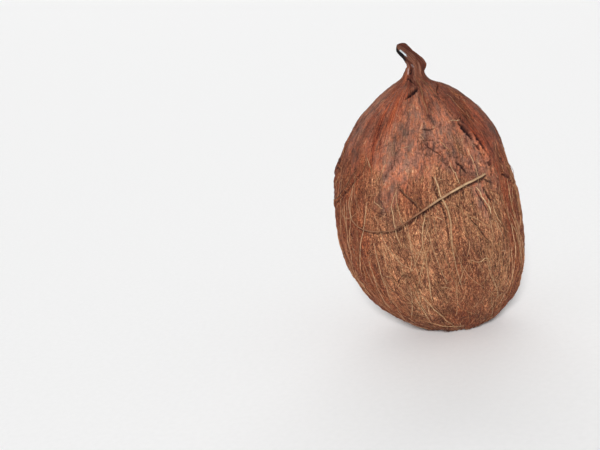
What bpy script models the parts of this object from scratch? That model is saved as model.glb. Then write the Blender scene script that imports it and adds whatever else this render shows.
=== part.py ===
"""A whole ripe coconut out of its green husk, standing on a small flat spot at its blossom end.

The nut is one grown piece, so it is one object: a fibre-covered ovoid, three-ridged as its three
carpels left it, that narrows through a concave neck into the hooked tuft of husk fibre at the stem end.

Frame: metres, +Z up, the flat spot on Z = 0, the box's middle over the origin. -Y is the front and
azimuths run from the front towards +X. The tuft hooks towards -X.
"""

import math

import bmesh
import bpy
from mathutils import Vector

MM = 0.001

# Driving dimensions, in millimetres.
GIRTH_RADIUS = 55.5
NECK_HEIGHT = 158.0
NECK_RADIUS = 5.9
TUFT_LENGTH = 23.0
TUFT_TIP_RADIUS = 3.2
SPOT_RADIUS = 14.5

# The nut isn't straight: its blossom end bulges to +X and its stem end leans the same way a little.
BASE_OFFSET = 18.0
STRAIGHT_FROM = 112.0
BULGE_POWER = 2.0
STEM_LEAN = math.radians(3.2)
DEPTH_SHARE = 0.97

# Above a height the spine bends in three arcs, together as long as the rest of it: (length, lean to -X
# at its end). The neck sways a little to +X, then the tuft turns over to -X and hooks at its tip.
BEND_FROM = 150.0
BENDS = [(13.0, math.radians(-10.0)), (6.0, math.radians(32.0)), (12.0, math.radians(44.0))]

# The three carpel ridges, as azimuths, and how far they stand out of a round section.
RIDGE_AZIMUTHS = [math.radians(a) for a in (-52.0, 66.0, 187.0)]
RIDGE_RISE = 1.6
RIDGE_HALF_WIDTH = math.radians(30.0)
FACE_SINK = 0.9

SEGMENTS_ROUND = 54
RINGS_PER_SPAN = 4

HUSK_COLOR = (0.30, 0.13, 0.065, 1.0)


def outline():
    """(height, radius) up the nut in millimetres, from the middle of the flat spot to the tuft's tip."""
    r, h = GIRTH_RADIUS, NECK_HEIGHT
    body = [
        (0.0, 0.0),
        (0.0, SPOT_RADIUS),
        (0.05 * h, 0.535 * r),
        (0.14 * h, 0.79 * r),
        (0.26 * h, 0.945 * r),
        (0.39 * h, 1.0 * r),
        (0.53 * h, 0.985 * r),
        (0.66 * h, 0.92 * r),
        (0.77 * h, 0.805 * r),
        (0.855 * h, 0.65 * r),
        (0.92 * h, 0.465 * r),
        (0.96 * h, 0.30 * r),
    ]
    neck = [
        (0.985 * h, 1.6 * NECK_RADIUS),
        (h + 0.1 * TUFT_LENGTH, NECK_RADIUS),
    ]
    tuft = [
        (h + 0.35 * TUFT_LENGTH, 0.84 * NECK_RADIUS),
        (h + 0.64 * TUFT_LENGTH, 1.2 * TUFT_TIP_RADIUS),
        (h + 0.90 * TUFT_LENGTH, TUFT_TIP_RADIUS),
        (h + TUFT_LENGTH, 0.0),
    ]
    return body + neck + tuft


def along(stations, u):
    """The point at u, in stations from the first, on a smooth curve through them all."""
    last = len(stations) - 1
    i = min(int(u), last - 1)
    f = u - i
    a, b, c, d = (Vector(stations[min(max(k, 0), last)]) for k in (i - 1, i, i + 1, i + 2))
    slope_b, slope_c = (c - a) / 2, (d - b) / 2
    weights = (
        (2 * f**3 - 3 * f**2 + 1, b),
        (f**3 - 2 * f**2 + f, slope_b),
        (-2 * f**3 + 3 * f**2, c),
        (f**3 - f**2, slope_c),
    )
    return sum((w * p for w, p in weights), Vector((0.0, 0.0)))


def spine(height):
    """(centre of the section, its lean to -X) at a height measured along the spine."""
    z = min(height, BEND_FROM)
    x = BASE_OFFSET * max(1 - z / STRAIGHT_FROM, 0) ** BULGE_POWER + z * math.tan(STEM_LEAN)
    lean = 0.0
    left = height - BEND_FROM
    for length, end in BENDS:
        if left <= 0:
            break
        curvature = (end - lean) / length
        angle = lean + curvature * min(left, length)
        x -= (math.cos(lean) - math.cos(angle)) / curvature
        z += (math.sin(angle) - math.sin(lean)) / curvature
        lean = angle
        left -= length
    return Vector((x, 0.0, z)), lean


def angle_between(a, b):
    return abs((a - b + math.pi) % (2 * math.pi) - math.pi)


def ridged(radius, azimuth):
    """The section's radius at an azimuth: fuller on the three ridges and flatter between them."""
    share = min(radius / GIRTH_RADIUS, 1.0)
    nearest = min(angle_between(azimuth, ridge) for ridge in RIDGE_AZIMUTHS)
    crest = math.exp(-((nearest / RIDGE_HALF_WIDTH) ** 2))
    return radius + share * (RIDGE_RISE * crest - FACE_SINK * (1 - crest))


def skin_point(azimuth, u):
    """The nut's surface at an azimuth, u stations up its outline, in metres."""
    height, radius = along(outline(), u)
    height, radius = max(height, 0.0), max(radius, 0.0)
    centre, lean = spine(height)
    r = ridged(radius, azimuth)
    across, back = r * math.sin(azimuth), -DEPTH_SHARE * r * math.cos(azimuth)
    place = centre + Vector((across * math.cos(lean), back, across * math.sin(lean)))
    return place * MM


def grow_nut():
    """A sphere's grid of rings and meridians, each ring moved to its place up the nut."""
    spans = len(outline()) - 1
    rings = spans * RINGS_PER_SPAN
    mesh = bpy.data.meshes.new("coconut")
    shape = bmesh.new()
    bmesh.ops.create_uvsphere(shape, u_segments=SEGMENTS_ROUND, v_segments=rings, radius=1.0)
    for vertex in shape.verts:
        x, y, z = vertex.co
        azimuth = math.atan2(x, -y)
        u = spans * (1 - math.acos(min(max(z, -1.0), 1.0)) / math.pi)
        vertex.co = skin_point(azimuth, u)
    low = [min(v.co[k] for v in shape.verts) for k in range(3)]
    high = [max(v.co[k] for v in shape.verts) for k in range(3)]
    middle = Vector(((low[0] + high[0]) / 2, (low[1] + high[1]) / 2, low[2]))
    bmesh.ops.translate(shape, verts=shape.verts, vec=-middle)
    bmesh.ops.recalc_face_normals(shape, faces=shape.faces)
    shape.to_mesh(mesh)
    shape.free()
    mesh.shade_smooth()
    return mesh


def husk_material():
    """Matted coir: dull red-brown dry fibre with no shine."""
    material = bpy.data.materials.new("coir")
    material.use_nodes = True
    shader = material.node_tree.nodes["Principled BSDF"]
    shader.inputs["Base Color"].default_value = HUSK_COLOR
    shader.inputs["Roughness"].default_value = 0.85
    shader.inputs["Metallic"].default_value = 0.0
    return material


def main():
    for thing in list(bpy.data.objects):
        bpy.data.objects.remove(thing, do_unlink=True)
    nut = bpy.data.objects.new("coconut", grow_nut())
    nut.data.materials.append(husk_material())
    bpy.context.scene.collection.objects.link(nut)


main()
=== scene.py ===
"""The looks of a whole ripe coconut out of its green husk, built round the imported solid.

The skin is one closed mesh: the CAD nut's own outline, with the relief that dry husk has. Over it lie
thousands of coir strands, as thin tapered tubes: bedded lengthwise ones, a felt of crossing ones where
the skin has worn off, long combed ones, loose curls, and some in places of their own.

Places on the nut are an azimuth in degrees, from the front (-Y) towards +X, and a height in millimetres
along the nut's spine.
"""

import math

import bmesh
import bpy
import numpy as np
from mathutils import Matrix, Vector, noise


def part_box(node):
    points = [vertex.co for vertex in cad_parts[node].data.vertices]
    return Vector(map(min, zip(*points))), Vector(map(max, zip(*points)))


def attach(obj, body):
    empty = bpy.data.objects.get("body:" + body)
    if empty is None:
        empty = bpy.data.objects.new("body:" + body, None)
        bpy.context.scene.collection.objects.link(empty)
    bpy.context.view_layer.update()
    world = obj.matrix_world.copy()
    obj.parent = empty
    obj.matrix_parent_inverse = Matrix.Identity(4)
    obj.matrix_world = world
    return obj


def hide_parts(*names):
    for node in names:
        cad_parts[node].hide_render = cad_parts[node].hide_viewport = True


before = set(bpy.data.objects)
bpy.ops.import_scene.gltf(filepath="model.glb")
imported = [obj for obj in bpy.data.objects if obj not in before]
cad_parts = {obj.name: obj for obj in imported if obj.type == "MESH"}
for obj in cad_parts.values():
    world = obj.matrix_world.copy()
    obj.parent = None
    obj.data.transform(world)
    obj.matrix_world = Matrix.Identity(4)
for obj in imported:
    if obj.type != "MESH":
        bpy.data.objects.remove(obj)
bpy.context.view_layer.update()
LOW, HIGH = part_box("coconut")

# The CAD nut is 178.8 mm high: a millimetre here is a millimetre at that height.
MM = (HIGH.z - LOW.z) / 178.8

# The outline's driving dimensions, as the CAD nut has them, in millimetres.
GIRTH_RADIUS = 55.5
NECK_HEIGHT = 158.0
NECK_RADIUS = 5.9
TUFT_LENGTH = 23.0
TUFT_TIP_RADIUS = 3.2
SPOT_RADIUS = 14.5
BASE_OFFSET = 18.0
STRAIGHT_FROM = 112.0
BULGE_POWER = 2.0
STEM_LEAN = math.radians(3.2)
DEPTH_SHARE = 0.97
BEND_FROM = 150.0
BENDS = [(13.0, math.radians(-10.0)), (6.0, math.radians(32.0)), (12.0, math.radians(44.0))]
CARPEL_AZIMUTHS = np.radians([-52.0, 66.0, 187.0])
CARPEL_RISE = 1.6
CARPEL_HALF_WIDTH = math.radians(30.0)
FACE_SINK = 0.9

rng = np.random.default_rng(41)


# ---------------------------------------------------------------- the nut's smooth shape


def outline():
    """(height, radius) up the nut, from the middle of the flat spot to the tuft's tip."""
    r, h, t = GIRTH_RADIUS, NECK_HEIGHT, TUFT_LENGTH
    body = [(0.05, 0.535), (0.14, 0.79), (0.26, 0.945), (0.39, 1.0), (0.53, 0.985), (0.66, 0.92)]
    shoulder = [(0.77, 0.805), (0.855, 0.65), (0.92, 0.465), (0.96, 0.30)]
    neck = [(0.985 * h, 1.6 * NECK_RADIUS), (h + 0.1 * t, NECK_RADIUS), (h + 0.35 * t, 0.84 * NECK_RADIUS)]
    tuft = [(h + 0.64 * t, 1.2 * TUFT_TIP_RADIUS), (h + 0.90 * t, TUFT_TIP_RADIUS), (h + t, 0.0)]
    ovoid = [(a * h, b * r) for a, b in body + shoulder]
    return np.array([(0.0, 0.0), (0.0, SPOT_RADIUS)] + ovoid + neck + tuft)


def through(stations, u):
    """Points at u, in stations from the first, on a smooth curve through them all."""
    last = len(stations) - 1
    i = np.clip(u.astype(int), 0, last - 1)
    f = (u - i)[:, None]
    a, b, c, d = (stations[np.clip(i + k, 0, last)] for k in (-1, 0, 1, 2))
    start = (2 * f**3 - 3 * f**2 + 1) * b + (f**3 - 2 * f**2 + f) * (c - a) / 2
    end = (-2 * f**3 + 3 * f**2) * c + (f**3 - f**2) * (d - b) / 2
    return start + end


def meridian():
    """The outline as (way up it, height, radius), finely: the way is measured along the skin."""
    stations = outline()
    fine = through(stations, np.linspace(0, len(stations) - 1, 3000))
    fine = np.maximum(fine, 0.0)
    steps = np.hypot(*np.diff(fine, axis=0).T)
    return np.concatenate([[0.0], np.cumsum(steps)]), fine[:, 0], fine[:, 1]


WAY, HEIGHT, RADIUS = meridian()
TOP = WAY[-1]


def height_at(way):
    """The height along the spine, at a way up the skin."""
    return np.interp(way, WAY, HEIGHT)


def radius_at(way):
    """The nut's radius, at a way up the skin."""
    return np.interp(way, WAY, RADIUS)


def way_at(height):
    """The way up the skin, from the middle of the flat spot, to a height outside the spot."""
    outside = WAY > SPOT_RADIUS
    return np.interp(height, HEIGHT[outside], WAY[outside])


def spine(height):
    """(x, z, lean to -X) of the spine at heights measured along it."""
    z = np.minimum(height, BEND_FROM)
    x = BASE_OFFSET * np.maximum(1 - z / STRAIGHT_FROM, 0) ** BULGE_POWER + z * math.tan(STEM_LEAN)
    left = np.maximum(height - BEND_FROM, 0.0)
    lean = np.zeros(height.shape)
    start = 0.0
    for length, end in BENDS:
        curvature = (end - start) / length
        angle = start + curvature * np.minimum(left, length)
        x = x - (math.cos(start) - np.cos(angle)) / curvature
        z = z + (np.sin(angle) - math.sin(start)) / curvature
        lean = np.where(left > 0, angle, lean)
        left = np.maximum(left - length, 0.0)
        start = end
    return x, z, lean


def section(azimuth, way):
    """Points on the smooth skin, before the nut's box is centred."""
    height, radius = height_at(way), radius_at(way)
    x, z, lean = spine(height)
    away = np.abs((azimuth[..., None] - CARPEL_AZIMUTHS + np.pi) % (2 * np.pi) - np.pi).min(-1)
    crest = np.exp(-((away / CARPEL_HALF_WIDTH) ** 2))
    share = np.minimum(radius / GIRTH_RADIUS, 1.0)
    r = radius + share * (CARPEL_RISE * crest - FACE_SINK * (1 - crest))
    across = r * np.sin(azimuth)
    back = -DEPTH_SHARE * r * np.cos(azimuth)
    return np.stack([x + across * np.cos(lean), back, z + across * np.sin(lean)], -1)


def box_middle():
    """The middle of the smooth nut's box, on the surface it stands on."""
    around, up = np.meshgrid(np.linspace(-np.pi, np.pi, 217), np.linspace(0, TOP, 400))
    points = section(around, up).reshape(-1, 3)
    low, high = points.min(0), points.max(0)
    return np.array([(low[0] + high[0]) / 2, (low[1] + high[1]) / 2, low[2]])


MIDDLE = box_middle()


def skin(azimuth, way):
    """Points on the smooth skin, where the CAD nut stands."""
    return section(azimuth, way) - MIDDLE


def outward(azimuth, way):
    """Unit normals of the smooth skin, pointing out."""
    turn, step = 0.01, 0.3
    across = section(azimuth + turn, way) - section(azimuth - turn, way)
    along = section(azimuth, np.minimum(way + step, TOP)) - section(azimuth, np.maximum(way - step, 0.0))
    normal = np.cross(across, along)
    length = np.linalg.norm(normal, axis=-1, keepdims=True)
    tip = np.array([-math.sin(BENDS[-1][1]), 0.0, math.cos(BENDS[-1][1])])
    pole = np.where((way > TOP / 2)[..., None], tip, np.array([0.0, 0.0, -1.0]))
    return np.where(length > 1e-6, normal / np.maximum(length, 1e-6), pole)


# ---------------------------------------------------------------- patterns on the skin


def smooth(low, high, value):
    """0 below low and 1 above high, eased between them, or the other way round when low is above high."""
    t = np.clip((value - low) / (high - low), 0, 1)
    return t * t * (3 - 2 * t)


def grown(azimuth, way):
    """The pattern space: a drum of the nut's girth, so that patterns narrow to both ends as fibres do."""
    return np.stack([GIRTH_RADIUS * np.cos(azimuth), GIRTH_RADIUS * np.sin(azimuth), way], -1)


def lumpy(points, octaves=3):
    """Fractal noise, about -1 to 1, at points whose unit is one lump."""
    flat = points.reshape(-1, 3)
    values = [noise.fractal(p, 1.0, 2.0, octaves) for p in flat.tolist()]
    return np.array(values).reshape(points.shape[:-1])


def near(azimuth, way, route):
    """(millimetres from a route of places, share of the route passed, side: 1 towards +azimuth)."""
    places = np.array(route, float)
    turns, ways = np.radians(places[:, 0]), way_at(places[:, 1])
    best = np.full(azimuth.shape, 1e3)
    share, side = np.zeros(azimuth.shape), np.ones(azimuth.shape)
    pieces = len(places) - 1
    for k in range(pieces):
        r = max(float(radius_at((ways[k] + ways[k + 1]) / 2)), 2.5)
        x = ((azimuth - turns[k] + np.pi) % (2 * np.pi) - np.pi) * r
        y = way - ways[k]
        dx, dy = (turns[k + 1] - turns[k]) * r, ways[k + 1] - ways[k]
        t = np.clip((x * dx + y * dy) / (dx * dx + dy * dy), 0, 1)
        distance = np.hypot(x - t * dx, y - t * dy)
        closer = distance < best
        best = np.where(closer, distance, best)
        share = np.where(closer, (k + t) / pieces, share)
        side = np.where(closer, np.sign(x - t * dx), side)
    return best, share, side


# Splits in the dry skin, in places of their own: (route, half width, depth).
PLACED_SPLITS = [
    ([(-1, 153), (-11, 151), (-22, 148)], 1.5, 2.6),
    ([(-42, 158), (-24, 157), (-7, 155)], 0.55, 1.2),
    ([(29, 132), (31, 129), (33, 126), (35, 122)], 1.4, 2.4),
    ([(38, 126), (40, 122), (41, 119), (42, 114)], 1.6, 2.4),
    ([(35, 120), (37, 116), (38, 111)], 0.6, 1.2),
    ([(24, 142), (26, 137), (28.5, 133)], 0.35, 0.8),
    ([(43, 110), (42, 105), (41, 100)], 0.8, 1.2),
    ([(52, 149.5), (55, 147.5), (58, 145.5), (61, 142)], 0.8, 1.0),
    ([(75, 154.5), (45, 152), (27, 149), (25, 147), (28, 145), (37, 145)], 0.4, 0.9),
    ([(-4, 132.6), (2, 131.8), (7, 132)], 0.5, 1.2),
    ([(-4, 127), (4, 126)], 0.4, 0.9),
    ([(-3, 125), (1, 122), (6, 119), (9, 116)], 0.45, 1.0),
    ([(8, 114), (11, 112.6), (13, 113)], 0.4, 0.8),
    ([(17, 112.6), (20, 110.5), (23.5, 105.5)], 0.7, 1.4),
    ([(-50, 111), (-61, 101), (-78, 91)], 0.9, 1.0),
    ([(33, 95.5), (35, 91), (37.5, 86)], 1.0, 1.7),
    ([(30, 98.5), (35.5, 100), (41, 95.5)], 0.5, 1.1),
    ([(55, 98.5), (61, 94), (69, 88.5)], 0.8, 1.4),
    ([(29, 46), (31, 36), (28, 27)], 0.7, 0.7),
    ([(-18, 33), (-15, 24), (-9, 15)], 0.6, 0.7),
]
# Grooves that single strands and the straw have pressed, just below them, painted dark as their shadows:
# (route, half width, depth).
SHADOW_GROOVES = [
    ([(37, 101), (20, 98), (3, 92.8), (-11, 86.3), (-25, 78.6)], 0.8, 1.0),
    ([(-26, 78.6), (-33, 77.6), (-40, 77.6), (-47, 78.6), (-53, 81.3)], 0.5, 0.6),
    ([(0.4, 107), (1.3, 99), (3.6, 92), (5.3, 85), (5.2, 76), (4.4, 66)], 0.6, 0.9),
    ([(27.5, 95), (30.5, 88.5), (34, 80)], 0.45, 0.7),
    ([(-21, 102), (-16, 97), (-11, 92), (-8, 88)], 0.5, 0.6),
    ([(19, 81), (24, 75), (28, 68), (32, 61)], 0.45, 0.5),
]
# Small round pits, where a bundle of fibre has pulled out.
PLACED_PITS = [(51, 112), (45, 110), (41, 107), (60, 106), (-33, 161.5)]
# Patches where the skin has dried into small curled plates: (route, half width).
FRONT_FLAKY = [([(2, 121), (10, 117), (18, 112), (28, 107)], 6.5), ([(38, 116), (41, 106), (44, 96)], 4.5)]
# The crest where two faces of the nut meet, and the two bands where the warm inner layer shows.
FRONT_CREST = [(37, 152), (27, 143), (30, 132), (38, 122), (43, 112), (45, 100), (47, 60), (46, 30)]
WARM_BAND = [(-48, 157), (-40, 150), (-38, 140), (-41, 129), (-44, 118), (-52, 104)]
LOW_WARM_BAND = [(33, 131), (39, 120), (43, 110), (47, 98), (50, 84), (51, 62)]
# The tuft: a folded sheath's barb, and the dark worn side of its tip.
BARB = (92, 164.4)
BARB_RISE = 2.1
BARB_ABOVE, BARB_BELOW = 3.6, 2.8
WAIST_HEIGHT = 166.5
WORN_TIP = [(-68, 179.5), (-66, 176), (-68, 172)]
# Painted highlights on the tuft, pale bluish white: (route, half width, how bright).
TUFT_HIGHLIGHTS = [
    ([(-27, 177.8), (-24, 176), (-21, 173.4)], 0.6, 1.0),
    ([(-50, 163.0), (-47, 161.5), (-44, 160.2)], 0.35, 0.3),
    ([(-26, 166.5), (-20, 165.5), (-13, 164.4)], 0.4, 0.18),
]


# How many more splits and pits are scattered where none is placed.
MORE_SPLITS, MORE_PITS = 22, 14


def scattered_marks():
    """More splits, pits and flaky patches round the sides and the back, away from the placed ones."""
    splits = []
    for _ in range(MORE_SPLITS):
        azimuth, height = rng.uniform(72, 282), rng.uniform(88, 152)
        lengthwise = rng.random() < 0.7
        turn = rng.uniform(-3, 3) if lengthwise else rng.uniform(4, 11)
        drop = rng.uniform(5, 14) if lengthwise else rng.uniform(-1, 4)
        bend = rng.uniform(-1.5, 1.5)
        middle = azimuth + turn / 2 + bend
        route = [(azimuth, height), (middle, height - drop / 2), (azimuth + turn, height - drop)]
        width = 0.35 + rng.gamma(1.2, 0.22)
        splits.append((route, width, 0.4 + width))
    pits = [(rng.uniform(65, 295), rng.uniform(95, 135)) for _ in range(MORE_PITS)]
    flaky = []
    for middle in (105, 160, 215, 262):
        azimuth, height = middle + rng.uniform(-12, 12), rng.uniform(100, 128)
        flaky.append(([(azimuth, height), (azimuth + 9, height - 14)], rng.uniform(5, 8)))
    return splits, pits, flaky


SCATTERED = scattered_marks()
SPLITS = PLACED_SPLITS + SCATTERED[0]
PITS = PLACED_PITS + SCATTERED[1]
FLAKY = FRONT_FLAKY + SCATTERED[2]


def bare_skin(azimuth, way):
    """How much of the smooth dry skin is left over the fibre, from 0 to 1: mostly towards the stem end."""
    ragged = lumpy(grown(azimuth, way) * (1, 1, 0.45) / 11.0 + 7.0, 4)
    wide = lumpy(grown(azimuth, way) * (1, 1, 0.6) / 34.0 + 71.0, 2)
    smooth_skin = smooth(-0.25, 0.25, (height_at(way) - 112.0) / 50.0 + 0.7 * ragged + 0.55 * wide)
    return np.maximum(smooth_skin, 0.85 * flaky(azimuth, way))


def warmth(azimuth, way):
    """How much of the orange-red inner layer shows, from 0 to 1."""
    away, share, _ = near(azimuth, way, WARM_BAND)
    band = smooth(9.5, 3.0, away) * smooth(1.0, 0.8, share)
    low_band = 0.6 * smooth(9.0, 2.0, near(azimuth, way, LOW_WARM_BAND)[0])
    streaks = lumpy(grown(azimuth, way) * (1, 1, 0.12) / 2.6 + 3.0, 3)
    others = smooth(0.2, 0.7, lumpy(grown(azimuth, way) * (1, 1, 0.3) / 15.0 + 19.0, 3))
    fade = 0.35 + 0.65 * smooth(90.0, 130.0, height_at(way))
    bands = np.maximum(band, low_band)
    return np.clip(bands * (0.5 + 1.1 * streaks) + 0.4 * fade * others * (0.6 + streaks), 0, 1)


def ruddy_and_shade(azimuth, way):
    """How dark and red the husk is, from 0 to 1: both side faces and the bottom as painted shade, where less
    light falls, and some red-brown patches of its own.
    """
    away, _, side = near(azimuth, way, FRONT_CREST)
    # Painted shade on the face right of the front crest, turned away from the light.
    right = smooth(-3.0, 4.0, away * side) * smooth(1.83, 1.22, azimuth)
    left = smooth(-0.5, -1.0, azimuth) * smooth(-2.18, -1.66, azimuth)
    patches = smooth(-0.1, 0.5, lumpy(grown(azimuth, way) * (1, 1, 0.6) / 26.0 + 43.0, 3))
    height = height_at(way)
    # Painted shade on the lower left and, below, at the bottom, where less light falls.
    low_left_shade = left * smooth(160.0, 92.0, height)
    return np.clip(0.75 * right + 1.1 * low_left_shade + 0.55 * patches + 0.5 * smooth(42.0, 12.0, height), 0, 1)


def hollows(azimuth, way):
    """(how deep the splits, grooves and pits are in millimetres, how much painted shade darkens them, from 0
    to 1).
    """
    depth = np.zeros(azimuth.shape)
    shade_share = np.zeros(azimuth.shape)
    wobble = lumpy(grown(azimuth, way) / 1.5 + 31.0, 3)
    for route, half_width, deep in SPLITS:
        away, share, _ = near(azimuth, way, route)
        lens = np.sqrt(np.clip(4 * share * (1 - share), 0.0, 1))
        width = half_width * (0.15 + 0.85 * lens) * (1 + 0.38 * wobble)
        across = away / np.maximum(width, 0.1)
        lip = np.exp(-(((away - 1.7 * width) / (0.6 * half_width)) ** 2)) * lens
        depth = depth + deep * (smooth(1.3, 0.6, across) - 0.36 * lip)
        # Painted shade inside the split: the deeper it is, the darker.
        shade_share = np.maximum(shade_share, min(deep / 1.5, 1.0) * smooth(1.15, 0.8, across))
    for route, half_width, deep in SHADOW_GROOVES:
        away, _, _ = near(azimuth, way, route)
        across = away / (half_width * (1 + 0.6 * wobble))
        depth = depth + deep * smooth(1.5, 0.5, across)
        # Painted shadow of the strand or straw lying just above.
        shade_share = np.maximum(shade_share, 0.8 * smooth(1.2, 0.6, across))
    for turn, height in PITS:
        away, _, _ = near(azimuth, way, [(turn, height + 0.8), (turn, height - 0.8)])
        across = away / (0.75 + 0.5 * wobble)
        depth = depth + 0.9 * smooth(1.5, 0.5, across)
        # Painted shade inside the pit.
        shade_share = np.maximum(shade_share, 0.85 * smooth(1.2, 0.7, across))
    return depth, shade_share


def flaky(azimuth, way):
    """How far inside the flaky patches a place is, from 0 to 1."""
    share = np.zeros(azimuth.shape)
    for route, half_width in FLAKY:
        away, _, _ = near(azimuth, way, route)
        share = np.maximum(share, smooth(half_width * 1.35, half_width * 0.75, away))
    return share


def plates(azimuth, way):
    """(how far the flaky patches' plates stand out in millimetres, how open the cracks round them are)."""
    rise = np.zeros(azimuth.shape)
    crack = np.zeros(azimuth.shape)
    share = flaky(azimuth, way)
    inside = share > 0.02
    points = grown(azimuth[inside], way[inside]) * (1, 1, 0.6) / 2.5
    points = points + 0.35 * lumpy(points * 1.7, 2)[..., None]
    edge, own = np.empty(len(points)), np.empty(len(points))
    for k, point in enumerate(points.tolist()):
        distances, centres = noise.voronoi(point)
        edge[k] = distances[1] - distances[0]
        own[k] = noise.cell(centres[0] * 9.0)
    rise[inside] = share[inside] * (0.65 + 0.45 * own) * smooth(0.0, 0.20, edge)
    crack[inside] = share[inside] * smooth(0.15, 0.04, edge) * (own > -0.4)
    return rise, crack


def tuft_cords(azimuth, way):
    """How far the tuft's twisted cords stand out of it, in millimetres."""
    twisted = azimuth + 0.03 * way
    cords = 0.26 * np.sin(4 * twisted) + 0.24 * np.sin(7 * twisted + 1.3) + 0.14 * np.sin(12 * twisted)
    fine = 0.6 * lumpy(grown(twisted, way) * (0.11, 0.11, 0.2) + 5.0, 4)
    return smooth(147.0, 160.0, height_at(way)) * (cords + fine)


def tuft_relief(azimuth, way):
    """The tuft's cords, its waist, and the barb that a folded sheath makes on its right."""
    height = height_at(way)
    beside = np.exp(-((((azimuth - math.radians(BARB[0]) + np.pi) % (2 * np.pi) - np.pi) / 0.6) ** 2))
    above, below = height - BARB[1], BARB[1] - height
    barb = BARB_RISE * beside * np.clip(1 - np.maximum(above / BARB_ABOVE, below / BARB_BELOW), 0, 1)
    slim = smooth(0.0, 5.0, TOP - way)
    waist = (0.85 - 0.3 * np.sin(azimuth)) * np.exp(-(((height - WAIST_HEIGHT) / 5.0) ** 2))
    thinned = -0.7 * smooth(167.0, 177.0, height) - waist
    return (tuft_cords(azimuth, way) + barb + thinned) * slim


# How wide the relief's features are, in millimetres.
LUMP_SIZE, DENT_SIZE, CORD_SIZE, FELT_SIZE = 24.0, 8.0, 4.4, 4.0


def relief(azimuth, way):
    """How far the real skin stands out of the smooth one, in millimetres."""
    place = grown(azimuth, way)
    bare = bare_skin(azimuth, way)
    lumps = (0.8 - 0.25 * bare) * lumpy(place * (1, 1, 0.7) / LUMP_SIZE, 3)
    dents = (0.40 - 0.25 * bare) * lumpy(place * (1, 1, 0.5) / DENT_SIZE + 53.0, 3)
    cords = lumpy(place * (1, 1, 0.10) / CORD_SIZE + 11.0, 2)
    felt = lumpy(place / FELT_SIZE + 23.0, 2)
    away, share, side = near(azimuth, way, FRONT_CREST)
    crest = 1.3 * np.exp(-((away / np.where(side > 0, 5.0, 9.0)) ** 2)) * smooth(1.0, 0.55, share)
    depth, _ = hollows(azimuth, way)
    flakes, _ = plates(azimuth, way)
    fibrous = (0.6 - 0.42 * bare) * cords + (0.45 - 0.33 * bare) * felt
    slim = smooth(3.0, 16.0, radius_at(way))
    on_spot = smooth(SPOT_RADIUS + 7.0, SPOT_RADIUS - 1.0, way)
    body = (lumps + dents + fibrous + crest + 0.5 * bare) * (0.25 + 0.75 * slim)
    return (body + flakes - depth) * (1 - on_spot) + tuft_relief(azimuth, way)


def lifted(azimuth, way, rise):
    """Points a rise in millimetres above the real skin, and never below the surface it stands on."""
    points = skin(azimuth, way) + outward(azimuth, way) * (relief(azimuth, way) + rise)[..., None]
    points[..., 2] = np.maximum(points[..., 2], 0.0)
    return points


# ---------------------------------------------------------------- materials


def linear(hex_colour):
    """An sRGB hex colour as linear RGBA."""
    parts = [int(hex_colour[k : k + 2], 16) / 255 for k in (0, 2, 4)]
    return tuple(c / 12.92 if c <= 0.04045 else ((c + 0.055) / 1.055) ** 2.4 for c in parts) + (1.0,)


def add(tree, kind, links=None, **settings):
    """One node: settings are its properties, links go from an input's name to a socket or a value."""
    node = tree.nodes.new("ShaderNode" + kind)
    for key, value in settings.items():
        setattr(node, key, value)
    for key, value in (links or {}).items():
        socket = node.inputs[key]
        if isinstance(value, bpy.types.NodeSocket):
            tree.links.new(value, socket)
        else:
            socket.default_value = value
    return node


def new_material(name, roughness, specular):
    """(a material, its node tree, its shader), with the shader's even values set."""
    material = bpy.data.materials.new(name)
    material.use_nodes = True
    shader = material.node_tree.nodes["Principled BSDF"]
    shader.inputs["Roughness"].default_value = roughness
    shader.inputs["Specular IOR Level"].default_value = specular
    return material, material.node_tree, shader


def ramp(tree, factor, stops, interpolation="LINEAR"):
    """A colour by a factor: stops are (position, colour or grey value)."""
    node = add(tree, "ValToRGB", {"Fac": factor})
    node.color_ramp.interpolation = interpolation
    while len(node.color_ramp.elements) < len(stops):
        node.color_ramp.elements.new(0.5)
    for element, (position, colour) in zip(node.color_ramp.elements, stops):
        element.position = position
        element.color = colour if isinstance(colour, tuple) else (colour, colour, colour, 1.0)
    return node.outputs["Color"]


def mix(tree, factor, a, b, blend="MIX"):
    """Colour a, with a factor of b mixed or multiplied into it."""
    node = add(tree, "Mix", data_type="RGBA", blend_type=blend)
    for index, value in ((0, factor), (6, a), (7, b)):
        socket = node.inputs[index]
        if isinstance(value, bpy.types.NodeSocket):
            tree.links.new(value, socket)
        else:
            socket.default_value = value
    return node.outputs[2]


def grain_noise(tree, grain, stretch, size, detail, shift, curl=0.0):
    """Noise in the skin's pattern space: a lump is size millimetres wide and stretch times as long."""
    scale = (1 / size, 1 / size, 1 / (size * stretch))
    scaled = add(tree, "Mapping", {"Vector": grain, "Scale": scale, "Location": (shift, 0.0, shift)})
    settings = {"Vector": scaled.outputs["Vector"], "Scale": 1.0, "Detail": detail, "Roughness": 0.62}
    return add(tree, "TexNoise", {**settings, "Distortion": curl}).outputs["Fac"]


def painted(tree, name):
    """A share from 0 to 1 that the mesh carries at its points."""
    return add(tree, "Attribute", attribute_name=name).outputs["Fac"]


def husk_patterns(tree):
    """The husk's noises by name, in the skin's pattern space."""
    grain = add(tree, "Attribute", attribute_name="grain").outputs["Vector"]
    # Each is (times as long as wide, width in millimetres, detail, shift, curl).
    kinds = {
        "cords": (11.0, 0.9, 5.0, 3.0),
        "dashes": (3.8, 0.55, 5.0, 61.0, 1.4),
        "tangle": (1.6, 1.6, 5.0, 37.0, 2.2),
        "gaps": (2.6, 3.4, 6.0, 113.0, 0.6),
        "blotches": (1.8, 3.4, 6.0, 13.0, 0.5),
        "patches": (1.8, 11.0, 4.0, 83.0),
        "greying": (1.5, 6.0, 3.0, 97.0),
        "specks": (2.4, 0.6, 3.0, 29.0, 0.6),
        "wrinkles": (0.45, 2.6, 4.0, 47.0),
    }
    return {name: grain_noise(tree, grain, *kind) for name, kind in kinds.items()}


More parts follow.
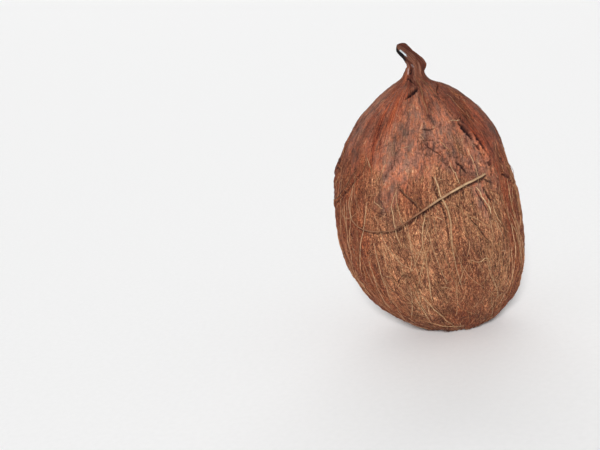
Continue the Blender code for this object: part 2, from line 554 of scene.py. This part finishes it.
def husk_layers(tree, pattern, bare):
    """The colours of the husk's three layers, each where it shows."""
    # The worn fibre: brown and tan threads, with painted shade in the dark gaps between them.
    fibre_stops = [(0.36, "1F0C08"), (0.43, "603524"), (0.50, "935C41"), (0.56, "B68059"), (0.64, "D6AC80")]
    threaded = mix(tree, 0.45, pattern["dashes"], pattern["tangle"])
    fibre = ramp(tree, threaded, [(p, linear(c)) for p, c in fibre_stops])
    # The leathery skin: blotches of dark, pinkish and orange-brown, greyed in places.
    skin_stops = [(0.33, "5E362B"), (0.43, "845746"), (0.50, "98634E"), (0.57, "A05C40"), (0.67, "B6886A")]
    dry_skin = ramp(tree, pattern["blotches"], [(p, linear(c)) for p, c in skin_stops])
    greyed = ramp(tree, pattern["greying"], [(0.50, 0.0), (0.62, 0.45)])
    dry_skin = mix(tree, greyed, dry_skin, linear("886C60"))
    # The inner layer: orange-red, with painted shade between its cords.
    inner_stops = [(0.34, "561D12"), (0.45, "8A3F28"), (0.56, "AA5A38"), (0.68, "C08058")]
    inner = ramp(tree, pattern["cords"], [(p, linear(c)) for p, c in inner_stops])
    colour = mix(tree, bare, fibre, dry_skin)
    return mix(tree, painted(tree, "warmth"), colour, inner)


def weathered(tree, pattern, bare, colour):
    """A husk colour with threads that show through, mottles, patches of age, flecks, wrinkles and dust, and
    painted shade: between the threads, in the wrinkles' creases, on the side faces and at the bottom.
    """
    # Threads that show through, lighter, with painted shade between them.
    threads = ramp(tree, pattern["cords"], [(0.36, 0.50), (0.48, 0.98), (0.60, 1.32)])
    colour = mix(tree, ramp(tree, bare, [(0.0, 0.9), (1.0, 0.45)]), colour, threads, "MULTIPLY")
    mottles = ramp(tree, pattern["tangle"], [(0.36, 0.62), (0.48, 0.98), (0.62, 1.22)])
    colour = mix(tree, 0.6, colour, mottles, "MULTIPLY")
    age = ramp(tree, pattern["patches"], [(0.32, 0.62), (0.5, 0.95), (0.68, 1.22)])
    colour = mix(tree, 1.0, colour, age, "MULTIPLY")
    flecks = ramp(tree, pattern["specks"], [(0.34, 0.40), (0.45, 0.96), (0.56, 1.06), (0.66, 1.40)])
    colour = mix(tree, 0.85, colour, flecks, "MULTIPLY")
    # Darker in patches where the gaps pattern is low, a little lighter where it is high.
    gap_darkening = ramp(tree, pattern["gaps"], [(0.32, 0.34), (0.41, 0.98), (0.58, 1.0), (0.68, 1.25)])
    colour = mix(tree, 0.9, colour, gap_darkening, "MULTIPLY")
    # Painted shade in the creases of the leathery skin's wrinkles.
    crease_shade = ramp(tree, pattern["wrinkles"], [(0.34, 0.50), (0.44, 1.0), (0.64, 1.15)])
    colour = mix(tree, ramp(tree, bare, [(0.0, 0.25), (1.0, 0.8)]), colour, crease_shade, "MULTIPLY")
    dusty = mix(tree, 1.0, colour, linear("CCD0C4"), "MULTIPLY")
    colour = mix(tree, ramp(tree, pattern["greying"], [(0.50, 0.0), (0.64, 0.5)]), colour, dusty)
    # Darker and redder: red-brown patches, and painted shade on the side faces and the bottom.
    reddened_and_shaded = mix(tree, 1.0, colour, linear("D2AEA0"), "MULTIPLY")
    return mix(tree, painted(tree, "ruddy_and_shade"), colour, reddened_and_shaded)


def coir_husk():
    """Dry coconut husk: matted dead fibre under patches of leathery skin, maroon to tan, quite dull."""
    material, tree, shader = new_material("coir_husk", 0.82, 0.25)
    pattern = husk_patterns(tree)
    bare = painted(tree, "bare_skin")
    colour = weathered(tree, pattern, bare, husk_layers(tree, pattern, bare))

    # Painted shade: maroon between the tuft's cords and near-black inside splits, grooves and pits. A worn
    # glossy tip, with a painted highlight beside it and fainter ones on the tuft.
    colour = mix(tree, painted(tree, "cord_gap_shade"), colour, linear("5E2E22"))
    colour = mix(tree, painted(tree, "hollow_shade"), colour, linear("22080B"))
    worn = painted(tree, "worn")
    colour = mix(tree, worn, colour, linear("171012"))
    colour = mix(tree, painted(tree, "pale"), colour, linear("DCE6EA"))
    tree.links.new(colour, shader.inputs["Base Color"])
    tree.links.new(ramp(tree, worn, [(0.0, 0.82), (1.0, 0.3)]), shader.inputs["Roughness"])

    cords = pattern["cords"]
    fibrous = mix(tree, 0.4, mix(tree, 0.5, cords, pattern["dashes"]), pattern["tangle"])
    leathery = mix(tree, 0.5, mix(tree, 0.5, cords, pattern["wrinkles"]), pattern["specks"])
    height = mix(tree, bare, fibrous, leathery)
    bump = add(tree, "Bump", {"Height": height, "Strength": 1.0, "Distance": 1.3 * MM})
    tree.links.new(bump.outputs["Normal"], shader.inputs["Normal"])
    return material


def coir_strand(name, dark, middle, light):
    """Single coir fibres: dry, stiff and slightly glossy, each with a tint of its own and darker knots."""
    material, tree, shader = new_material(name, 0.65, 0.3)
    place = add(tree, "TexCoord").outputs["Object"]
    knots = add(tree, "TexNoise", {"Vector": place, "Scale": 0.55 / MM, "Detail": 2.0})
    stops = [(0.0, linear(dark)), (0.5, linear(middle)), (1.0, linear(light))]
    colour = ramp(tree, painted(tree, "tint"), stops)
    colour = mix(tree, painted(tree, "warmth"), colour, linear("9C4D30"))
    shade = ramp(tree, knots.outputs["Fac"], [(0.3, 0.52), (0.5, 0.86), (0.7, 1.05)])
    colour = mix(tree, 1.0, colour, shade, "MULTIPLY")
    tree.links.new(colour, shader.inputs["Base Color"])
    return material


def split_straw():
    """A dry straw of husk: greyish tan at its thick end, brown at its thin one, mottled by weather."""
    material, tree, shader = new_material("split_straw", 0.7, 0.3)
    place = add(tree, "TexCoord").outputs["Object"]
    weather = add(tree, "TexNoise", {"Vector": place, "Scale": 0.4 / MM, "Detail": 4.0})
    stops = [(0.0, linear("3C2017")), (0.5, linear("8A5F44")), (1.0, linear("CBAC86"))]
    colour = ramp(tree, painted(tree, "tint"), stops)
    shade = ramp(tree, weather.outputs["Fac"], [(0.34, 0.6), (0.5, 0.95), (0.66, 1.1)])
    tree.links.new(mix(tree, 1.0, colour, shade, "MULTIPLY"), shader.inputs["Base Color"])
    bump = add(tree, "Bump", {"Height": weather.outputs["Fac"], "Strength": 0.6, "Distance": 0.3 * MM})
    tree.links.new(bump.outputs["Normal"], shader.inputs["Normal"])
    return material


def pale_floor():
    """A matt white painted board, which shows the nut's soft shadow."""
    material, tree, shader = new_material("painted_board", 0.9, 0.1)
    place = add(tree, "TexCoord").outputs["Object"]
    grit = add(tree, "TexNoise", {"Vector": place, "Scale": 300.0, "Detail": 2.0})
    tree.links.new(ramp(tree, grit.outputs["Fac"], [(0.3, 0.87), (0.7, 0.89)]), shader.inputs["Base Color"])
    return material


# ---------------------------------------------------------------- pieces


def add_piece(name, mesh, material):
    """One visible piece of the nut, riding on its body."""
    mesh.shade_smooth()
    mesh.materials.clear()
    mesh.materials.append(material)
    piece = bpy.data.objects.new(name, mesh)
    bpy.context.scene.collection.objects.link(piece)
    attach(piece, "root")
    return piece


def store(mesh, name, values, kind="FLOAT"):
    """Values at a mesh's points, for its material to read."""
    attribute = mesh.attributes.new(name, kind, "POINT")
    key = "vector" if kind == "FLOAT_VECTOR" else "value"
    attribute.data.foreach_set(key, np.asarray(values, np.float32).ravel())


HUSK_AROUND, HUSK_UP = 288, 228
# The share of the rings that lies below the shoulder; the rest are closer together, on the neck and tuft.
BODY_RINGS = 0.72
SHOULDER = float(way_at(142.0))


def on_nut(ball):
    """(azimuth, way) of points on the unit sphere that the husk is grown from."""
    azimuth = np.arctan2(ball[:, 0], -ball[:, 1])
    share = 1 - np.arccos(np.clip(ball[:, 2], -1, 1)) / np.pi
    return azimuth, np.interp(share, (0.0, BODY_RINGS, 1.0), (0.0, SHOULDER, TOP))


def refine(shape):
    """Cut the sphere's grid finer where splits, pits and plates need it."""
    centres = np.array([face.calc_center_median() for face in shape.faces])
    azimuth, way = on_nut(centres / np.linalg.norm(centres, axis=1, keepdims=True))
    fine = np.zeros(len(centres), bool)
    for route, half_width, _ in SPLITS + SHADOW_GROOVES:
        fine |= near(azimuth, way, route)[0] < 1.6 * half_width + 0.5
    for turn, height in PITS:
        fine |= near(azimuth, way, [(turn, height + 0.8), (turn, height - 0.8)])[0] < 1.6
    for route, half_width in FRONT_FLAKY:
        fine |= near(azimuth, way, route)[0] < half_width
    shape.faces.ensure_lookup_table()
    edges = {edge for k in np.flatnonzero(fine) for edge in shape.faces[k].edges}
    bmesh.ops.subdivide_edges(shape, edges=list(edges), cuts=2, use_grid_fill=True)


def husk():
    """The nut's whole skin: a sphere's grid moved to its place on the nut, with the relief added."""
    shape = bmesh.new()
    shape.loops.layers.uv.new("OFBake")
    bmesh.ops.create_uvsphere(shape, u_segments=HUSK_AROUND, v_segments=HUSK_UP, radius=1.0, calc_uvs=True)
    refine(shape)
    mesh = bpy.data.meshes.new("husk")
    ball = np.array([vertex.co for vertex in shape.verts])
    azimuth, way = on_nut(ball)
    for vertex, point in zip(shape.verts, lifted(azimuth, way, 0.0) * MM):
        vertex.co = point
    bmesh.ops.recalc_face_normals(shape, faces=shape.faces)
    shape.to_mesh(mesh)
    shape.free()
    _, shade_share = hollows(azimuth, way)
    _, cracks = plates(azimuth, way)
    store(mesh, "grain", grown(azimuth, way), "FLOAT_VECTOR")
    store(mesh, "bare_skin", bare_skin(azimuth, way))
    store(mesh, "warmth", warmth(azimuth, way))
    # The husk's red-brown patches, and painted shade on its side faces and bottom.
    store(mesh, "ruddy_and_shade", ruddy_and_shade(azimuth, way))
    # Painted shade between the tuft's cords, where they sink in.
    store(mesh, "cord_gap_shade", smooth(0.0, -0.4, tuft_cords(azimuth, way)))
    # Painted shade inside the splits, grooves, pits and the plates' cracks.
    store(mesh, "hollow_shade", np.maximum(shade_share, 0.6 * cracks))
    darkening = 0.3 * smooth(163.0, 174.0, height_at(way))
    store(mesh, "worn", np.maximum(darkening, smooth(1.7, 1.2, near(azimuth, way, WORN_TIP)[0])))
    # Painted highlights on the tuft.
    streaks = ((near(azimuth, way, route)[0] / wide, share) for route, wide, share in TUFT_HIGHLIGHTS)
    store(mesh, "pale", np.max([share * smooth(1.4, 0.7, away) for away, share in streaks], axis=0))
    piece = add_piece("husk", mesh, coir_husk())
    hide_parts("coconut")


# How many sides a strand's tube has.
SIDES = 4


def close_ends(mesh):
    """Cap the open ends of a mesh of tubes."""
    shape = bmesh.new()
    shape.from_mesh(mesh)
    bmesh.ops.holes_fill(shape, edges=shape.edges, sides=SIDES)
    shape.to_mesh(mesh)
    shape.free()


def tubes(name, routes, rise, radii, tint, warm, material):
    """One mesh of many closed tubes over the skin; routes is (azimuths, ways), all strands x points."""
    centres = lifted(*routes, rise)
    centres[..., 2] = np.maximum(centres[..., 2], radii)
    curve = bpy.data.curves.new(name, "CURVE")
    curve.dimensions = "3D"
    curve.bevel_depth = MM
    curve.bevel_resolution = 0
    count, length = radii.shape
    places = np.concatenate([centres * MM, np.ones((count, length, 1))], -1).astype(np.float32)
    for k in range(count):
        spline = curve.splines.new("POLY")
        spline.points.add(length - 1)
        spline.points.foreach_set("co", places[k].ravel())
        spline.points.foreach_set("radius", radii[k].astype(np.float32))
    line = bpy.data.objects.new(name + "_line", curve)
    bpy.context.scene.collection.objects.link(line)
    mesh = bpy.data.meshes.new_from_object(line.evaluated_get(bpy.context.evaluated_depsgraph_get()))
    bpy.data.objects.remove(line)
    mesh.name = name
    close_ends(mesh)
    drift = np.cumsum(rng.normal(0, 0.2 / math.sqrt(length), radii.shape), axis=1)
    store(mesh, "tint", np.repeat(np.clip(tint + drift, 0, 1), SIDES))
    store(mesh, "warmth", np.repeat(np.clip(warm, 0, 1), length * SIDES))
    return add_piece(name, mesh, material)


def wander(azimuth, way, heading, length, curl, points):
    """Routes over the skin, from places and headings (0 is towards the stem end): strands x points."""
    count = len(azimuth)
    step = length / (points - 1)
    azimuths, ways = np.empty((count, points)), np.empty((count, points))
    bend = rng.normal(0, 1, count) * curl
    for k in range(points):
        azimuths[:, k], ways[:, k] = azimuth, way
        azimuth = azimuth + step * np.sin(heading) / np.maximum(radius_at(way), 2.5)
        way = np.clip(way + step * np.cos(heading), 1.0, TOP - 1.5)
        heading = heading + (bend + rng.normal(0, 1, count) * curl) * step
    return azimuths, ways


def even_places(count, low, high, chance):
    """Azimuths and ways spread evenly over the skin between two heights, thinned by a chance function."""
    azimuths, ways = np.empty(0), np.empty(0)
    while len(azimuths) < count:
        azimuth = rng.uniform(-np.pi, np.pi, count)
        way = rng.uniform(way_at(low), way_at(high), count)
        keep = rng.random(count) < radius_at(way) / GIRTH_RADIUS
        azimuth, way = azimuth[keep], way[keep]
        keep = rng.random(len(azimuth)) < chance(azimuth, way)
        azimuth, way = azimuth[keep], way[keep]
        azimuths, ways = np.append(azimuths, azimuth), np.append(ways, way)
    return azimuths[:count], ways[:count]


def up_or_down(count, spread):
    """Headings along the nut, either way, give or take a spread in radians."""
    return rng.normal(0, 1, count) * spread + np.where(rng.random(count) < 0.5, 0, np.pi)


def tapered(radius, points, thin=0.35):
    """Each strand's radius at its points: full in the middle and thinner at both ends."""
    along = np.linspace(0, 1, points)
    return radius[:, None] * (thin + (1 - thin) * np.sin(np.pi * along) ** 0.6)[None, :]


def ends_in(points, sink):
    """How far a strand's ends dip into the skin, along its points."""
    along = np.linspace(0, 1, points)
    return -sink * (1 - smooth(0, 0.16, along) * smooth(1, 0.84, along))[None, :]


def bedded(name, count, material):
    """Strands that lie lengthwise in the skin, half sunk."""
    points = 11
    azimuth, way = even_places(count, 2, 168, lambda a, w: 1 - 0.7 * bare_skin(a, w))
    bare = bare_skin(azimuth, way)
    length = rng.uniform(5, 20, count) * (1 - 0.3 * bare)
    routes = wander(azimuth, way, up_or_down(count, 0.22 + 0.22 * (1 - bare)), length, 0.03, points)
    radii = tapered(rng.uniform(0.08, 0.21, count) * (1 - 0.25 * bare), points)
    rise = ends_in(points, 0.5) + (rng.uniform(-0.16, 0.14, count) - 0.08 * bare)[:, None]
    # Darker and warmer with the husk's red-brown patches and its painted shade.
    red = ruddy_and_shade(azimuth, way)
    tint = (rng.normal(0.42, 0.32, count) - 0.15 * red)[:, None]
    return tubes(name, routes, rise, radii, tint, 0.9 * warmth(azimuth, way) + 0.4 * red, material)


def felted(name, count, material):
    """Short strands that cross each other where the smooth skin has gone."""
    points = 8
    azimuth, way = even_places(count, 1, 150, lambda a, w: 1 - 0.9 * bare_skin(a, w))
    routes = wander(azimuth, way, up_or_down(count, 0.95), rng.uniform(2, 8, count), 0.10, points)
    radii = tapered(rng.uniform(0.07, 0.16, count), points)
    rise = ends_in(points, 0.4) + rng.uniform(-0.10, 0.25, count)[:, None]
    # Darker and warmer with the husk's red-brown patches and its painted shade.
    red = ruddy_and_shade(azimuth, way)
    tint = (rng.normal(0.42, 0.26, count) - 0.15 * red)[:, None]
    return tubes(name, routes, rise, radii, tint, 0.5 * warmth(azimuth, way) + 0.4 * red, material)


def combed(name, count, material):
    """Long strands that run from the shoulder towards the base, most of them on the nut's flanks."""
    points = 22

    def chance(azimuth, way):
        flank = 0.2 + 0.8 * np.sin(azimuth) ** 2
        return flank * (1 - bare_skin(azimuth, way))

    azimuth, way = even_places(count, 30, 122, chance)
    routes = wander(azimuth, way, rng.normal(np.pi, 0.12, count), rng.uniform(16, 48, count), 0.012, points)
    radii = tapered(rng.uniform(0.11, 0.24, count), points, 0.5)
    rise = ends_in(points, 0.5) + rng.uniform(0.0, 0.4, count)[:, None]
    # Darker and warmer with the husk's red-brown patches and its painted shade.
    red = ruddy_and_shade(azimuth, way)
    tint = (rng.normal(0.56, 0.28, count) - 0.1 * red)[:, None]
    return tubes(name, routes, rise, radii, tint, 0.35 * red, material)


def loose(name, count, material):
    """Curls that have come free and stand a little off the nut."""
    points = 18
    azimuth, way = even_places(count, 10, 118, lambda a, w: 1 - 0.95 * bare_skin(a, w))
    routes = wander(azimuth, way, up_or_down(count, 0.55), rng.uniform(6, 20, count), 0.06, points)
    radii = tapered(rng.uniform(0.10, 0.20, count), points)
    arch = np.sin(np.pi * np.linspace(0, 1, points))[None, :] * rng.gamma(1.5, 0.35, count)[:, None]
    rise = ends_in(points, 0.5) + 0.2 + arch
    tint = rng.normal(0.35, 0.2, count)[:, None]
    # Warmer with the husk's red-brown patches and its painted shade.
    return tubes(name, routes, rise, radii, tint, 0.3 * ruddy_and_shade(azimuth, way), material)


# Strands in places of their own: (route, radius in the middle, rise in the middle, tint).
PLACED = [
    ([(2, 108), (3, 100), (5, 94), (7, 87), (7, 75), (6, 65)], 0.60, 0.7, 0.72),
    ([(-7, 88), (-9, 80), (-11, 71), (-11, 60), (-12, 48), (-15, 32)], 0.40, 0.9, 0.8),
    ([(-5, 72), (-10, 64), (-14, 57), (-18, 48), (-24, 39), (-32, 31)], 0.32, 0.5, 0.6),
    ([(-23, 103), (-26, 94), (-26, 86), (-25, 78), (-24, 68)], 0.30, 0.6, 0.72),
    ([(-20, 38), (-16, 28), (-11, 16), (-4, 7)], 0.40, 0.8, 0.7),
    ([(17, 84), (22, 76), (26, 69), (31, 61), (30, 55), (25, 54), (19, 56)], 0.34, 0.7, 0.5),
    ([(11, 90), (18, 83), (24, 79), (36, 70)], 0.28, 0.5, 0.45),
    ([(28, 97), (29.5, 93), (32.5, 86.5), (36, 79)], 0.42, 0.8, 0.85),
    ([(12, 97), (9, 90), (9, 84), (12, 75)], 0.26, 0.5, 0.5),
    ([(0, 69), (1, 60), (1, 54), (2, 49), (6, 41)], 0.24, 0.5, 0.4),
    ([(1, 55), (4, 58), (7, 58)], 0.20, 0.4, 0.5),
    ([(10, 60), (9, 54), (8, 48), (3, 40)], 0.22, 0.5, 0.6),
    ([(15, 57), (20, 54), (26, 55), (29, 49)], 0.26, 0.5, 0.6),
    ([(9, 125), (13, 121), (16, 116)], 0.22, 0.4, 0.8),
    ([(23, 134), (27, 133.2), (32, 133)], 0.20, 0.5, 0.9),
    ([(13, 112), (15, 107), (18, 100)], 0.24, 0.5, 0.75),
    ([(-33, 115), (-33, 109), (-31, 101)], 0.24, 0.5, 0.7),
    ([(-45, 118), (-42, 114), (-40, 110)], 0.26, 0.5, 0.6),
    ([(-38, 97), (-36, 95), (-32, 92)], 0.24, 0.5, 0.65),
    ([(-22, 104), (-17, 99), (-12, 94), (-9, 89)], 0.42, 0.5, 0.12),
    ([(58, 96), (57, 86), (58, 72), (60, 57)], 0.34, 0.5, 0.6),
    ([(46, 88), (48, 80), (53, 65), (66, 50)], 0.30, 0.5, 0.55),
    ([(39, 84), (42, 73), (44, 63), (44, 54)], 0.30, 0.5, 0.3),
    ([(65, 104), (67, 90), (69, 74), (72, 58)], 0.32, 0.5, 0.6),
    ([(52, 70), (55, 58), (58, 44), (57, 33)], 0.30, 0.5, 0.5),
    ([(35, 62), (38, 50), (38, 38), (35, 28)], 0.28, 0.5, 0.4),
    ([(-36, 20), (-22, 13), (-8, 8.5), (6, 7)], 0.28, 0.4, 0.4),
    ([(-56, 112), (-66, 101), (-82, 91)], 0.30, 0.4, 0.2),
    ([(6, 158), (4, 152), (3, 146), (4, 139)], 0.30, 0.2, 0.25),
    ([(20, 160), (22, 154), (20, 148), (21, 142)], 0.28, 0.2, 0.3),
]


def spread_out(route, points):
    """(azimuths, ways) of evenly spaced points on a smooth curve through a route's places."""
    stations = np.array(route, float)
    line = through(stations, np.linspace(0, len(stations) - 1, points))
    return np.radians(line[:, 0]), way_at(line[:, 1])


def placed(name, material):
    """The strands in places of their own, each swaying a little across its route."""
    points = 30
    routes = np.array([spread_out(route, points) for route, _, _, _ in PLACED]).transpose(1, 0, 2)
    radius, lift, tint = (np.array([strand[k] for strand in PLACED]) for k in (1, 2, 3))
    along = np.linspace(0, 1, points)
    sway = np.zeros((len(PLACED), points))
    for waves in (2, 4, 7):
        phase = rng.uniform(0, 2 * np.pi, len(PLACED))[:, None]
        sway += np.sin(2 * np.pi * waves * along[None, :] + phase) / waves
    azimuth = routes[0] + 0.55 * sway / np.maximum(radius_at(routes[1]), 5.0)
    rise = ends_in(points, 0.5) + 0.2 + (lift - 0.2)[:, None] * np.sin(np.pi * along)[None, :] ** 0.5
    radii = tapered(radius, points, 0.5)
    return tubes(name, (azimuth, routes[1]), rise, radii, tint[:, None], 0 * tint, material)


STRAW = [(36, 102.5), (19, 99.5), (3, 94.5), (-11, 88), (-26, 80)]
STRAW_TAIL = [(-25.5, 80), (-33, 79), (-39, 79), (-47, 80), (-54, 83), (-57, 89), (-58, 95), (-56, 102)]


def straw(name, route, radii, rises, tints, material):
    """One straw lying across the nut; radii, rises and tints run from its thick end to its thin one."""
    points = 48
    azimuth, way = spread_out(route, points)
    along = np.linspace(0, 1, points)
    radius, rise, tint = (
        np.interp(along, np.linspace(0, 1, len(values)), values)[None, :] for values in (radii, rises, tints)
    )
    return tubes(name, (azimuth[None, :], way[None, :]), rise, radius, tint, np.array([0.0]), material)


# ---------------------------------------------------------------- the room


def floor():
    """The board that the nut stands on."""
    shape = bmesh.new()
    bmesh.ops.create_circle(shape, cap_ends=True, segments=64, radius=60.0)
    mesh = bpy.data.meshes.new("floor")
    shape.to_mesh(mesh)
    shape.free()
    piece = bpy.data.objects.new("floor", mesh)
    bpy.context.scene.collection.objects.link(piece)
    mesh.materials.append(pale_floor())


def sun(name, direction, spread, strength):
    """A far lamp: direction points from the nut to it, spread is how wide it looks."""
    light = bpy.data.lights.new(name, "SUN")
    light.angle = math.radians(spread)
    light.energy = strength
    piece = bpy.data.objects.new(name, light)
    bpy.context.scene.collection.objects.link(piece)
    piece.rotation_euler = Vector(direction).to_track_quat("Z", "Y").to_euler()


def studio():
    """A key beside the camera, a wide fill from behind, a glow at the horizon, and a pale wall to look at."""
    sun("key", (-0.16, -0.95, 0.50), 10.0, 3.4)
    sun("fill", (0.10, 0.95, 0.36), 60.0, 1.3)
    world = bpy.data.worlds.new("studio")
    bpy.context.scene.world = world
    world.use_nodes = True
    tree = world.node_tree
    direction = add(tree, "TexCoord").outputs["Generated"]
    rise = add(tree, "SeparateXYZ", {"Vector": direction}).outputs["Z"]
    glow = ramp(tree, rise, [(0.0, 0.85), (0.01, 0.85), (0.05, 0.36), (0.6, 0.36)], "EASE")
    seen = add(tree, "LightPath").outputs["Is Camera Ray"]
    tree.links.new(mix(tree, seen, glow, linear("F4F4F4")), tree.nodes["Background"].inputs["Color"])
    bpy.context.scene.view_settings.view_transform = "Standard"


PITCH = math.radians(15.0)
ROLL = math.radians(8.5)
CAMERA_DISTANCE = 0.62
AIM_HEIGHT = 0.088
FOCAL_LENGTH = 60.5
# How far the nut sits from the middle of the picture, in the picture's own plane, in metres.
ASIDE = 0.0763
ABOVE = 0.0215


def camera():
    """A lens in front of the nut and a little above it, rolled so that the nut leans to the left."""
    forward = Vector((0.0, math.cos(PITCH), -math.sin(PITCH)))
    level_right = Vector((1.0, 0.0, 0.0))
    level_up = level_right.cross(forward)
    right = math.cos(ROLL) * level_right - math.sin(ROLL) * level_up
    up = math.sin(ROLL) * level_right + math.cos(ROLL) * level_up
    data = bpy.data.cameras.new("camera")
    data.lens = FOCAL_LENGTH
    data.clip_start = 0.01
    piece = bpy.data.objects.new("camera", data)
    bpy.context.scene.collection.objects.link(piece)
    turn = Matrix((right, up, -forward)).transposed().to_4x4()
    place = Vector((0.0, 0.0, AIM_HEIGHT)) - CAMERA_DISTANCE * forward - ASIDE * right - ABOVE * up
    piece.matrix_world = Matrix.Translation(place) @ turn
    bpy.context.scene.camera = piece


# How many strands each piece of fibre has.
BEDDED_COUNT, FELTED_COUNT, COMBED_COUNT, LOOSE_COUNT = 2000, 2600, 450, 150


def main():
    camera()
    studio()
    floor()
    husk()
    fine = coir_strand("coir_fibre", "32160E", "84503A", "CA9C72")
    pale = coir_strand("dry_coir_fibre", "4C2A1C", "9E6E4B", "D4B086")
    for k in (1, 2):
        bedded(f"bedded_fibre_{k}", BEDDED_COUNT, fine)
    felted("felted_fibre_1", FELTED_COUNT, fine)
    felted("felted_fibre_2", FELTED_COUNT, pale)
    combed("combed_fibre", COMBED_COUNT, pale)
    loose("loose_fibre", LOOSE_COUNT, pale)
    placed("single_fibres", pale)
    tan = split_straw()
    thick, thin = (0.62, 0.75, 0.72, 0.6, 0.48), (0.46, 0.42, 0.38, 0.3)
    straw("straw", STRAW, thick, (1.2, 1.8, 1.8, 1.3, 0.9), (0.7, 0.9, 0.8, 0.55, 0.4), tan)
    straw("straw_tail", STRAW_TAIL, thin, (0.8, 0.6, 0.5, 0.5, 0.1), (0.4, 0.55, 0.6, 0.5), tan)


main()
